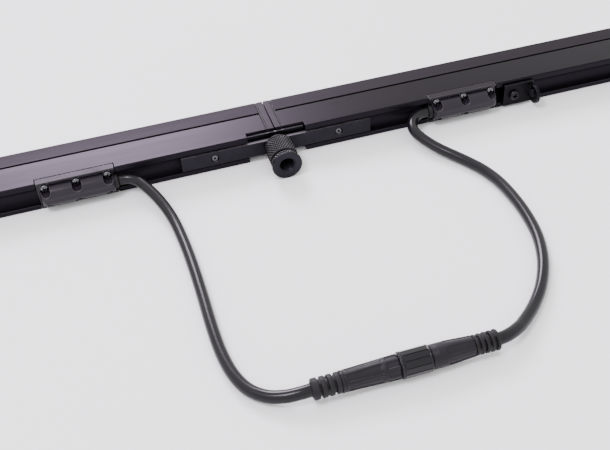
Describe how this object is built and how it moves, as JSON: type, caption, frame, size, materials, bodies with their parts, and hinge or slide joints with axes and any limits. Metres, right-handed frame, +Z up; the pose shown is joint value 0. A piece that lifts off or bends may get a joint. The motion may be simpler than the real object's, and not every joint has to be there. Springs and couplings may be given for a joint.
{
  "type": "led strip batten",
  "caption": "Slim linkable stage LED battens end to end, with rear splice plate, knurled threaded coupler, gland boxes, safety eye and a looped link cable with a screw connector.",
  "frame": {"origin": "on the surface, under the middle of the two linked battens without their cable: the joint plane in X, midway between the lens and the coupler's end in Y", "axes": "+X along the battens, +Z up through their wide sides, light towards +Y, rear channel, coupler and cable towards -Y"},
  "size_m": [1, 0.2303, 0.019],
  "materials": {
    "black_anodised": "satin black anodised extrusion",
    "black_moulded": "fine matt moulded plastic",
    "black_steel": "black zinc, knurled on the coupler",
    "black_screw": "black oxide",
    "black_rubber": "matt moulded rubber",
    "cable_jacket": "smooth satin jacket",
    "opal_lens": "opal satin strip",
    "led_board": "white solder mask",
    "driver_board": "green solder mask",
    "contact_plastic": "moulded insert",
    "bright_steel": "turned"
  },
  "bodies": {
    "root": {"cable_grommet_far_left": "black_rubber", "cable_grommet_far_right": "black_rubber", "cable_grommet_joint_left": "black_rubber", "cable_grommet_joint_right": "black_rubber", "cable_plug_side": "cable_jacket", "cable_socket_side": "cable_jacket", "contact_insert": "contact_plastic", "draw_stud": "bright_steel", "driver_board_left": "driver_board", "driver_board_right": "driver_board", "end_cap_far_left": "black_anodised", "end_cap_far_right": "black_anodised", "end_cap_joint_left": "black_anodised", "end_cap_joint_right": "black_anodised", "end_gasket_far_left": "black_rubber", "end_gasket_far_right": "black_rubber", "end_gasket_joint_left": "black_rubber", "end_gasket_joint_right": "black_rubber", "eye_screw": "black_screw", "front_frame_left": "black_anodised", "front_frame_right": "black_anodised", "gland_box_far_left": "black_moulded", "gland_box_far_right": "black_moulded", "gland_box_joint_left": "black_moulded", "gland_box_joint_right": "black_moulded", "gland_screw_left_1": "black_screw", "gland_screw_left_2": "black_screw", "gland_screw_left_3": "black_screw", "gland_screw_left_4": "black_screw", "gland_screw_left_5": "black_screw", "gland_screw_left_6": "black_screw", "gland_screw_right_1": "black_screw", "gland_screw_right_2": "black_screw", "gland_screw_right_3": "black_screw", "gland_screw_right_4": "black_screw", "gland_screw_right_5": "black_screw", "gland_screw_right_6": "black_screw", "key_plate": "black_steel", "led_board_left": "led_board", "led_board_right": "led_board", "lens_left": "opal_lens", "lens_right": "opal_lens", "o_ring": "black_rubber", "plug_body": "black_moulded", "plug_boot": "black_rubber", "rear_body_left": "black_anodised", "rear_body_right": "black_anodised", "safety_eye": "black_steel", "socket_body": "black_moulded", "socket_boot": "black_rubber", "splice_plate": "black_steel", "splice_screw_left": "black_screw", "splice_screw_right": "black_screw", "splice_spacer_left": "bright_steel", "splice_spacer_right": "bright_steel"},
    "coupler_carriage": {"thrust_washer": "black_rubber"},
    "coupler": {"coupler_sleeve": "black_steel"},
    "connector_nut": {"coupling_nut": "black_moulded"}
  },
  "joints": [
    {"name": "coupler_travel", "type": "slide", "parent": "root", "child": "coupler_carriage", "axis": [0, -1, 0], "range_m": [0, 0.003]},
    {"name": "coupler_turn", "type": "hinge", "parent": "coupler_carriage", "child": "coupler", "pos_m": [0, -0.02, 0.0095], "axis": [0, -1, 0], "range_deg": [0, 1080]},
    {"name": "connector_nut_turn", "type": "hinge", "parent": "root", "child": "connector_nut", "pos_m": [0.0163, -0.194, 0.0071], "axis": [1, 0, 0], "range_deg": [0, 720]}
  ],
  "couplings": [
    {"joint": "coupler_turn", "follows": "coupler_travel", "rad_per_m": 6283.2}
  ]
}
